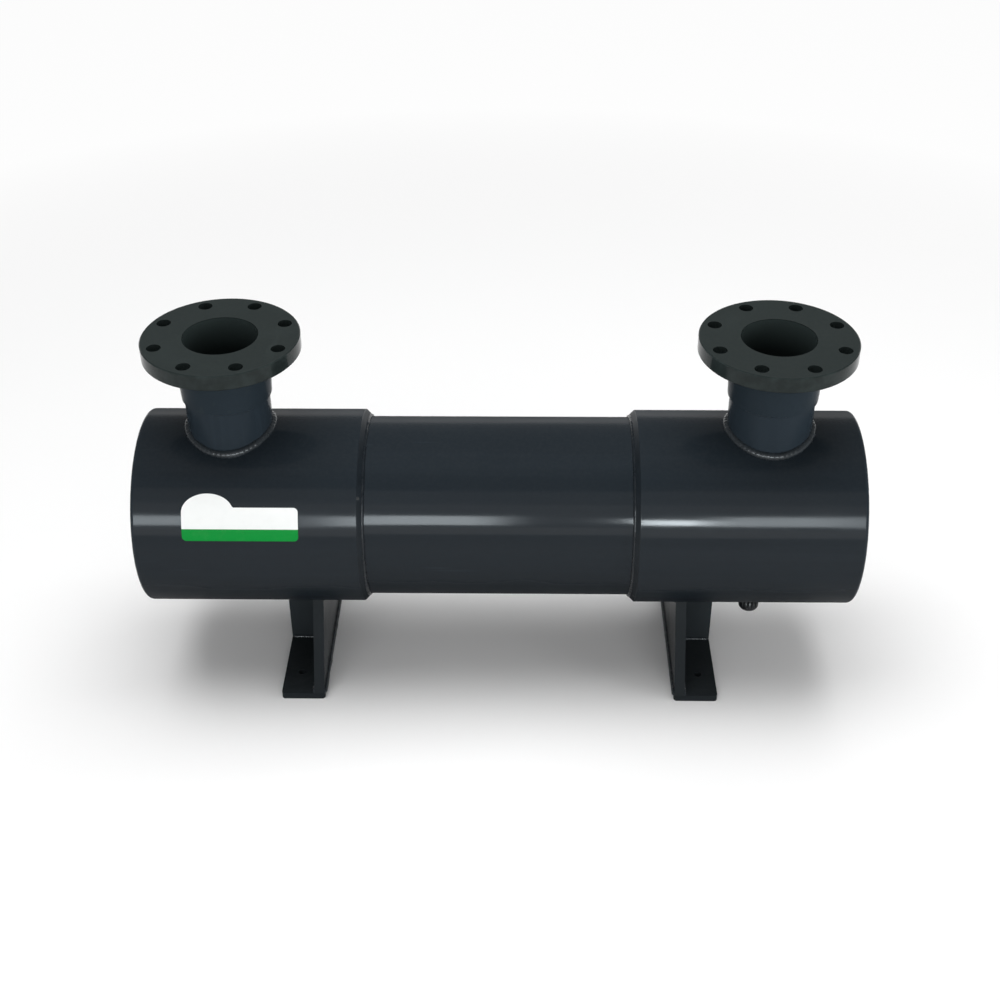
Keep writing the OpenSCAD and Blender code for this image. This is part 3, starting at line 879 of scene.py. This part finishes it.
def foot_weld_paths(side):
    """Every seam of a foot: web and gusset on the base, on each other and on the chamber."""
    inner, web_out, edge = side * FOOT_LOW.x, side * FOOT_HIGH.x, side * FOOT_EDGE_X
    half_depth = FOOT_HIGH.y
    paths = [straight((inner, -half_depth, BASE_TOP_Z), (inner, half_depth, BASE_TOP_Z), 60)]
    for y in (-1, 1):
        beside = y * GUSSET_HALF
        corner = (web_out, beside, BASE_TOP_Z)
        paths.append(straight((web_out, y * half_depth, BASE_TOP_Z), corner, 40))
        paths.append(straight(corner, (edge, beside, BASE_TOP_Z)))
        paths.append(straight(corner, under_chamber(web_out, beside), 40))
        paths.append(straight(under_chamber(web_out, beside), under_chamber(edge, beside)))
    for x in (inner, web_out):
        arc = [under_chamber(x, WEB_TOP_HALF * (i / 30 - 1)) for i in range(61)]
        paths.append((arc, False))
    return paths


def onto_x(x, y, z):
    """Stands a shape made up the Z axis along the vessel instead, from a point."""
    return Matrix.Translation((x, y, z)) @ Matrix.Rotation(math.pi / 2, 4, "Y")


def waisted_copy(node, to_world, crest, root, start):
    """A copy of a solid whose plain thread, from start up its axis, is cut down to the root."""
    work = bmesh.new()
    work.from_mesh(NODES[node].data)
    bmesh.ops.remove_doubles(work, verts=work.verts, dist=MERGE_GAP)
    work.transform(to_world.inverted())
    for level in (start, start + CUT_STEP):
        parts = [*work.verts, *work.edges, *work.faces]
        bmesh.ops.bisect_plane(
            work, geom=parts, plane_co=(0, 0, level), plane_no=(0, 0, 1), dist=MERGE_GAP
        )
    for vert in work.verts:
        reach = math.hypot(vert.co.x, vert.co.y)
        if vert.co.z > start + CUT_STEP / 2 and abs(reach - crest) < CREST_GAP:
            vert.co.x *= root / reach
            vert.co.y *= root / reach
    work.transform(to_world)
    mesh = bpy.data.meshes.new(node + "_cut")
    work.to_mesh(mesh)
    work.free()
    mesh.shade_smooth()
    mesh.set_sharp_from_angle(angle=THREAD_SHARP)
    return mesh


def threaded(name, node, tree, material, to_world, crest, pitch, start, end, body):
    """A solid rebuilt with a real thread in place of its plain one."""
    wire = pitch * RIDGE_SHARE
    values = {
        "Coil Radius": crest - wire,
        "Pitch": pitch,
        "Wire Radius": wire,
        "Taper": crest * RUN_OUT_SHARE,
        "Turns": (end - start) / pitch - END_TURNS,
        "Wire Sides": RIDGE_SIDES,
        "Steps": RIDGE_STEPS,
    }
    ridge = shaped(name + "_ridge", tree, holder_mesh(name + "_start", []), values, material)
    ridge.transform(to_world @ Matrix.Translation((0, 0, start + wire)))
    turned_outwards(ridge)
    ridge.shade_flat()
    cut = waisted_copy(node, to_world, crest, crest - wire, start)
    cut.materials.clear()
    cut.materials.append(material)
    placed(name, joined(name, [cut, ridge]), body, [node])


class CLARIFIER_OT_dress_vessel(bpy.types.Operator):
    """Finish the pipes, branches, flanges, end plates and feet"""

    bl_idname = "clarifier.dress_vessel"
    bl_label = "Dress vessel"

    def execute(self, context):
        looks = context.scene.clarifier_vessel
        wear(["centre_pipe", "drain_boss", *both("end_chamber")], pipe_finish(looks))
        wear(both("branch_pipe"), branch_finish(looks))
        wear(both("flange"), flange_finish(looks))
        # Lit copies of one sheet: each foot sheet's colour is raised by painted light.
        for piece, (name, painted_lightness) in FOOT_SHEETS.items():
            wear(both(piece), sheet_finish(name, brighter(looks.sheet, painted_lightness), looks))
        wear(["blank_end_plate", "lamp_end_plate", "sleeve_cups"], plate_finish(looks))
        return {"FINISHED"}


class CLARIFIER_OT_lay_beads(bpy.types.Operator):
    """Lay the welds of the branches, feet, drain and plates, and the cement in the joints"""

    bl_idname = "clarifier.lay_beads"
    bl_label = "Lay welds and cement"

    def execute(self, context):
        looks = context.scene.clarifier_vessel
        sizes = context.scene.clarifier_beads
        rod, cement, tree = bead_finish(looks), cement_finish(looks), bead_tree()
        for seed, (side, sign) in enumerate(SIDES.items()):
            path = saddle(sign * PORT_X, BRANCH_R, CHAMBER_R, 1)
            lay_bead(
                "port_weld", side, tree, [path], rod, sizes.port, sizes.port_pitch, seed,
                stands_for=[f"weld_bead_{side}"],
            )
            path = circle_x(sign * (STEP_X - 0.6 * MM), PIPE_R + 0.6 * MM)
            lay_bead(
                "step_cement", side, tree, [path], cement, sizes.step, 9 * MM, seed + 2,
                stands_for=[f"cement_fillet_{side}"],
            )
            path = circle_z(sign * PORT_X, BRANCH_R + 0.3 * MM, HUB_FOOT_Z - 0.3 * MM)
            lay_bead("hub_cement", side, tree, [path], cement, sizes.hub, 6 * MM, seed + 4)
            paths = foot_weld_paths(sign)
            lay_bead("foot_weld", side, tree, paths, rod, sizes.foot, 4 * MM, seed + 6)

        out = sizes.plate * 0.3
        faces = {"left": BLANK_PLATE_X - out, "right": LAMP_PLATE_X + out}
        for seed, (side, x) in enumerate(faces.items()):
            path = circle_x(x, PLATE_R - out)
            lay_bead("plate_weld", side, tree, [path], rod, sizes.plate, 5 * MM, seed + 8)
        path = saddle(PORT_X, DRAIN_BOSS_R + 0.8 * MM, CHAMBER_R + 0.8 * MM, -1)
        lay_bead("drain_weld", None, tree, [path], rod, sizes.foot * 0.8, 4 * MM, 10)
        return {"FINISHED"}


class CLARIFIER_OT_fit_drain(bpy.types.Operator):
    """Give the drain plug its thread, and finish the plug and its washer"""

    bl_idname = "clarifier.fit_drain"
    bl_label = "Fit drain"

    def execute(self, context):
        looks = context.scene.clarifier_fittings
        plastic = moulded_finish("drain_black", looks.nut, 0.34, 0.5)
        wear(["drain_washer"], rubber_finish(looks))
        threaded(
            "drain_plug_threaded", "drain_plug", helix_tree(), plastic,
            to_world=Matrix.Translation((PORT_X, 0, DRAIN_WASHER_LOW)),
            crest=DRAIN_THREAD_R,
            pitch=coupled_pitch("drain_plug_lower"),
            start=DRAIN_THREAD_START,
            end=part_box("drain_plug")[1].z - DRAIN_WASHER_LOW,
            body="drain_plug",
        )
        return {"FINISHED"}


class CLARIFIER_OT_fit_glands(bpy.types.Operator):
    """Give the glands their threads, and finish their nuts, washers and seals"""

    bl_idname = "clarifier.fit_glands"
    bl_label = "Fit glands"

    def execute(self, context):
        looks = context.scene.clarifier_fittings
        vessel = context.scene.clarifier_vessel
        white = moulded_finish("thrust_washer_white", looks.washer, 0.45, 0.2)
        grey = moulded_finish("gland_grey", brighter(vessel.sheet, 1.3), 0.36, 0.4)
        wear(each_lamp("gland_nut"), moulded_finish("gland_nut_black", looks.nut, 0.38, 0.5))
        wear(each_lamp("thrust_washer"), white)
        wear(["sleeve_o_rings"], rubber_finish(looks))
        helix, rings = helix_tree(), []
        for i in LAMPS:
            node = f"gland_body_{i}"
            at = middle(node)
            threaded(
                f"gland_threaded_{i}", node, helix, grey,
                to_world=onto_x(LAMP_PLATE_X, at.y, at.z),
                crest=GLAND_THREAD_R,
                pitch=coupled_pitch(f"gland_{i}_back_off"),
                start=GLAND_THREAD_START,
                end=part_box(node)[1].x - LAMP_PLATE_X,
                body="vessel",
            )
            rings.append(circle_x(LAMP_PLATE_X, GLAND_THREAD_R, at.y, at.z, 64))
        rod = bead_finish(vessel)
        lay_bead("gland_weld", None, bead_tree(), rings, rod, 1.6 * MM, 3 * MM, 11)
        return {"FINISHED"}


class CLARIFIER_OT_fit_lamps(bpy.types.Operator):
    """Finish the sleeves, lamps and their plugs, and hang the filaments in the tubes"""

    bl_idname = "clarifier.fit_lamps"
    bl_label = "Fit lamps"

    def execute(self, context):
        looks = context.scene.clarifier_fittings
        wear(each_lamp("quartz_sleeve"), glass_finish("quartz", looks, 0.02))
        wear(each_lamp("lamp_tube"), glass_finish("lamp_glass", looks, 0.04))
        wear([*each_lamp("lamp_base"), *each_lamp("lamp_cap")], ceramic_finish(looks))
        wear(each_lamp("lamp_plug"), rubber_finish(looks))
        wire, helix = wire_finish(looks), helix_tree()
        values = {"Coil Radius": looks.filament, **FILAMENT_COIL}
        near, far = FILAMENT_INSETS
        for i in LAMPS:
            low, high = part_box(f"lamp_tube_{i}")
            at = middle(f"lamp_tube_{i}")
            coils = []
            for x in (low.x + near, high.x - far):
                coil = shaped("filament", helix, holder_mesh("filament_start", []), values, wire)
                coil.transform(onto_x(x, at.y, at.z))
                coils.append(turned_outwards(coil))
            placed(f"filaments_{i}", joined(f"filaments_{i}", coils), f"lamp_{i}")
        return {"FINISHED"}


class CLARIFIER_OT_stick_label(bpy.types.Operator):
    """Stick the bare label on the left chamber"""

    bl_idname = "clarifier.stick_label"
    bl_label = "Stick label"

    def execute(self, context):
        looks = context.scene.clarifier_label
        mesh = label_mesh(looks)
        mesh.materials.append(label_finish(looks))
        placed("bare_label", mesh, "vessel")
        return {"FINISHED"}


def label_edges(looks, along):
    """The label's two edges at a distance along it, measured up the chamber from its low line."""
    height = (looks.high - looks.low) * CHAMBER_R
    into_corner = max(0.0, looks.corner - min(along, looks.width - along))
    inset = looks.corner - math.sqrt(max(0.0, looks.corner**2 - into_corner**2))
    off_centre = min(1.0, abs(2 * along / looks.arch_width - 1.0))
    arch = height - looks.arch_foot + looks.arch_rise * math.sqrt(1.0 - off_centre**2)
    return inset, max(height - inset, arch) if off_centre < 1.0 else height - inset


def label_mesh(looks):
    """A thin film with round corners and an arched end, wrapped on the chamber."""
    rows, columns = LABEL_ROWS, LABEL_COLUMNS
    work = bmesh.new()
    layers = []
    for lift in (0.0, looks.thickness):
        grid = []
        for column in range(columns + 1):
            along = looks.width * 0.5 * (1 - math.cos(math.pi * column / columns))
            low, high = label_edges(looks, along)
            line = []
            for row in range(rows + 1):
                angle = looks.low + (low + (high - low) * row / rows) / CHAMBER_R
                radius = CHAMBER_R + lift
                across, height = -radius * math.cos(angle), AXIS_Z + radius * math.sin(angle)
                line.append(work.verts.new((looks.start_x + along, across, height)))
            grid.append(line)
        layers.append(grid)
    under, over = layers
    for column in range(columns):
        for row in range(rows):
            corners = ((column, row), (column + 1, row), (column + 1, row + 1), (column, row + 1))
            work.faces.new([over[c][r] for c, r in corners])
            work.faces.new([under[c][r] for c, r in reversed(corners)])
    edge = [(c, 0) for c in range(columns)]
    edge += [(columns, r) for r in range(rows)]
    edge += [(c, rows) for c in range(columns, 0, -1)]
    edge += [(0, r) for r in range(rows, 0, -1)]
    for (c0, r0), (c1, r1) in zip(edge, edge[1:] + edge[:1]):
        work.faces.new((over[c1][r1], over[c0][r0], under[c0][r0], under[c1][r1]))
    bmesh.ops.recalc_face_normals(work, faces=work.faces)
    mesh = bpy.data.meshes.new("bare_label")
    work.to_mesh(mesh)
    work.free()
    mesh.shade_smooth()
    mesh.set_sharp_from_angle(angle=LABEL_SHARP)
    return mesh


def label_finish(looks):
    """Printed film: a white field above a coloured band."""
    finish = Finish("label_film", looks.white, 0.45, Specular_IOR_Level=0.06)
    edge_z = AXIS_Z + CHAMBER_R * math.sin(looks.band_top)
    finish.stain(finish.ramp(finish.axis("Z"), edge_z + 0.2 * MM, edge_z), looks.band)
    grime_and_shade = finish.noise(70.0, seed=41.0, detail=7.0)
    finish.stain(finish.ramp(grime_and_shade, 0.50, 0.90, 0.0, 0.06), LABEL_GRIME)
    finish.blur(finish.ramp(grime_and_shade, 0.4, 0.7, -0.05, 0.15))
    finish.emboss(finish.noise(40.0, seed=42.0), 0.1 * MM)
    return finish.done()


class CLARIFIER_OT_set_stage(bpy.types.Operator):
    """Lay the floor, hang the lights and set up the camera"""

    bl_idname = "clarifier.set_stage"
    bl_label = "Set stage"

    def execute(self, context):
        looks = context.scene.clarifier_stage
        lay_floor(looks)
        light_world(looks)
        hang_lights(looks)
        aim_camera(looks)
        context.scene.view_settings.view_transform = "Standard"
        return {"FINISHED"}


def lay_floor(looks):
    """A wide pale floor whose far edge curves up, so that it fills the view behind the object."""
    rings = [(FLOOR_FLAT, 0.0)]
    for step in range(1, FLOOR_STEPS + 1):
        angle = math.pi / 2 * step / FLOOR_STEPS
        rings.append((FLOOR_FLAT + FLOOR_OUT * math.sin(angle), FLOOR_UP * (1 - math.cos(angle))))
    points, faces = [], [tuple(range(FLOOR_TURN))]
    for radius, height in rings:
        for corner in range(FLOOR_TURN):
            turn = 2 * math.pi * corner / FLOOR_TURN
            points.append((radius * math.cos(turn), radius * math.sin(turn), height))
    for ring in range(FLOOR_STEPS):
        for corner in range(FLOOR_TURN):
            following = (corner + 1) % FLOOR_TURN
            inner, outer = ring * FLOOR_TURN, (ring + 1) * FLOOR_TURN
            faces.append((inner + corner, outer + corner, outer + following, inner + following))
    mesh = bpy.data.meshes.new("floor")
    mesh.from_pydata(points, [], faces)
    mesh.shade_smooth()
    mesh.materials.append(floor_finish(looks))
    floor = bpy.data.objects.new("floor", mesh)
    bpy.context.scene.collection.objects.link(floor)


def floor_finish(looks):
    """A matt floor that turns to plain white away from the object, as a backdrop."""
    finish = Finish("floor_white", looks.floor, 0.9, Specular_IOR_Level=0.0)
    rays = finish.tree.nodes.new("ShaderNodeLightPath").outputs
    mirrored = finish.math("MAXIMUM", rays["Is Glossy Ray"], rays["Is Transmission Ray"])
    seen = finish.math("MAXIMUM", rays["Is Camera Ray"], mirrored)
    away = finish.reach(finish.axis("X"), finish.axis("Y"))
    away = finish.ramp(away, WHITE_START, WHITE_END, 0.0, WHITE_SHARE)
    white = finish.add("ShaderNodeEmission", {"Color": (1.0, 1.0, 1.0, 1.0), "Strength": 1.0})
    shades = {0: finish.product(seen, away), 1: finish.shader.outputs[0], 2: white}
    output = finish.tree.nodes["Material Output"]
    finish.join(finish.add("ShaderNodeMixShader", shades), output.inputs["Surface"])
    return finish.done()


def light_world(looks):
    """Even light from all round."""
    world = bpy.data.worlds.new("even_sky")
    world.use_nodes = True
    sky = world.node_tree.nodes["Background"]
    sky.inputs["Color"].default_value = (1.0, 1.0, 1.0, 1.0)
    sky.inputs["Strength"].default_value = looks.sky
    bpy.context.scene.world = world


def area_light(name, place, aim, size, power, glossy=True, diffuse=True):
    """A rectangular lamp that faces a point. Reflections or matt surfaces may leave it out."""
    data = bpy.data.lights.new(name, "AREA")
    data.shape = "RECTANGLE"
    data.size, data.size_y = size
    data.energy = power
    lamp = bpy.data.objects.new(name, data)
    lamp.location = place
    lamp.rotation_euler = (Vector(aim) - Vector(place)).to_track_quat("-Z", "Y").to_euler()
    lamp.visible_glossy = glossy
    lamp.visible_diffuse = diffuse
    lamp.visible_camera = False
    bpy.context.scene.collection.objects.link(lamp)
    return lamp


def hang_lights(looks):
    """Broad soft lights, and a row of panes in front that make the long highlight."""
    for name, (place, aim, size, glossy) in SOFT_LIGHTS.items():
        area_light(name, place, aim, size, getattr(looks, name), glossy=glossy)
    for number, (start, end, low, high, share) in enumerate(WINDOW_PANES):
        size = (end - start, high - low)
        place = ((start + end) / 2, WINDOW_Y, (low + high) / 2)
        power = looks.window * share * math.pi * size[0] * size[1]
        aim = (place[0], 0.0, AXIS_Z)
        pane = area_light(f"pane_{number}", place, aim, size, power, diffuse=False)
        pane.data.color = WINDOW_TINT


def aim_camera(looks):
    """Looks at the object from where the photograph was taken."""
    level = math.cos(looks.elevation)
    across, ahead = math.sin(looks.yaw) * level, math.cos(looks.yaw) * level
    forward = Vector((across, ahead, -math.sin(looks.elevation)))
    flat_right = forward.cross(Vector((0, 0, 1))).normalized()
    flat_up = flat_right.cross(forward)
    right = flat_right * math.cos(looks.roll) + flat_up * math.sin(looks.roll)
    up = right.cross(forward)
    data = bpy.data.cameras.new("photo_camera")
    data.sensor_width = SENSOR_WIDTH
    data.lens = looks.lens
    data.shift_y = looks.shift
    camera = bpy.data.objects.new("photo_camera", data)
    place = Vector(looks.target) - forward * looks.distance
    turn = Matrix((right, up, -forward)).transposed()
    camera.matrix_world = Matrix.Translation(place) @ turn.to_4x4()
    bpy.context.scene.collection.objects.link(camera)
    bpy.context.scene.camera = camera


OPERATORS = (
    CLARIFIER_OT_dress_vessel,
    CLARIFIER_OT_lay_beads,
    CLARIFIER_OT_fit_drain,
    CLARIFIER_OT_fit_glands,
    CLARIFIER_OT_fit_lamps,
    CLARIFIER_OT_stick_label,
    CLARIFIER_OT_set_stage,
)
LOOKS = {
    "clarifier_vessel": ClarifierVesselLooks,
    "clarifier_beads": ClarifierBeadLooks,
    "clarifier_label": ClarifierLabelLooks,
    "clarifier_fittings": ClarifierFittingLooks,
    "clarifier_stage": ClarifierStageLooks,
}


class CLARIFIER_PT_panel(bpy.types.Panel):
    """Lists the steps and the sizes and colours that they use"""

    bl_idname = "CLARIFIER_PT_panel"
    bl_label = "Clarifier"
    bl_space_type = "VIEW_3D"
    bl_region_type = "UI"
    bl_category = "Clarifier"

    def draw(self, context):
        for operator in OPERATORS:
            self.layout.operator(operator.bl_idname)
        for name, group in LOOKS.items():
            box = self.layout.box()
            box.label(text=group.__doc__)
            for prop in group.__annotations__:
                box.prop(getattr(context.scene, name), prop)


def register():
    for group in LOOKS.values():
        bpy.utils.register_class(group)
    for operator in OPERATORS:
        bpy.utils.register_class(operator)
    bpy.utils.register_class(CLARIFIER_PT_panel)
    for name, group in LOOKS.items():
        setattr(bpy.types.Scene, name, bpy.props.PointerProperty(type=group))


def unregister():
    for name in LOOKS:
        delattr(bpy.types.Scene, name)
    bpy.utils.unregister_class(CLARIFIER_PT_panel)
    for operator in reversed(OPERATORS):
        bpy.utils.unregister_class(operator)
    for group in reversed(LOOKS.values()):
        bpy.utils.unregister_class(group)


def main():
    register()
    bpy.ops.clarifier.dress_vessel()
    bpy.ops.clarifier.lay_beads()
    bpy.ops.clarifier.fit_drain()
    bpy.ops.clarifier.fit_glands()
    bpy.ops.clarifier.fit_lamps()
    bpy.ops.clarifier.stick_label()
    bpy.ops.clarifier.set_stage()


if __name__ == "__main__":
    main()
